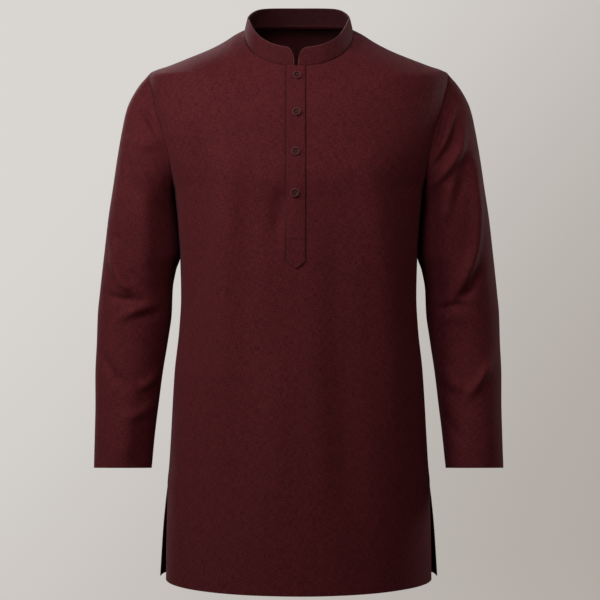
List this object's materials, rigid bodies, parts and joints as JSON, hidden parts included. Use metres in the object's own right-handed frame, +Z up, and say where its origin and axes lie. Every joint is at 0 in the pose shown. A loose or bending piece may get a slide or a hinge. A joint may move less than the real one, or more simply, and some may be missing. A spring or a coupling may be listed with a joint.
{
  "type": "kurta tunic",
  "caption": "Short kurta tunic with a band collar, buttoned half placket, long plain sleeves and side slits, in its worn, hollow form.",
  "frame": {"origin": "midway between the two points where the collar meets the shoulder seams, where the wearer's shoulders hold the garment up", "axes": "+X to the wearer's left, -Y to the front, +Z up"},
  "size_m": [0.624, 0.288, 0.8904],
  "materials": {
    "body_cloth": "maroon plain weave with light flecks in the yarn, slight sheen",
    "sleeve_cloth": "the same maroon plain weave",
    "collar_cloth": "the same cloth, doubled and pressed flat",
    "placket_cloth": "the same cloth, folded and pressed into a strip",
    "button": "dark maroon-brown resin, polished rim"
  },
  "bodies": {
    "root": {"front": "body_cloth", "back": "body_cloth", "sleeve_left": "sleeve_cloth", "sleeve_right": "sleeve_cloth", "collar": "collar_cloth", "placket": "placket_cloth", "placket_under": "placket_cloth", "button_1": "button", "button_2": "button", "button_3": "button", "button_4": "button"}
  },
  "joints": []
}
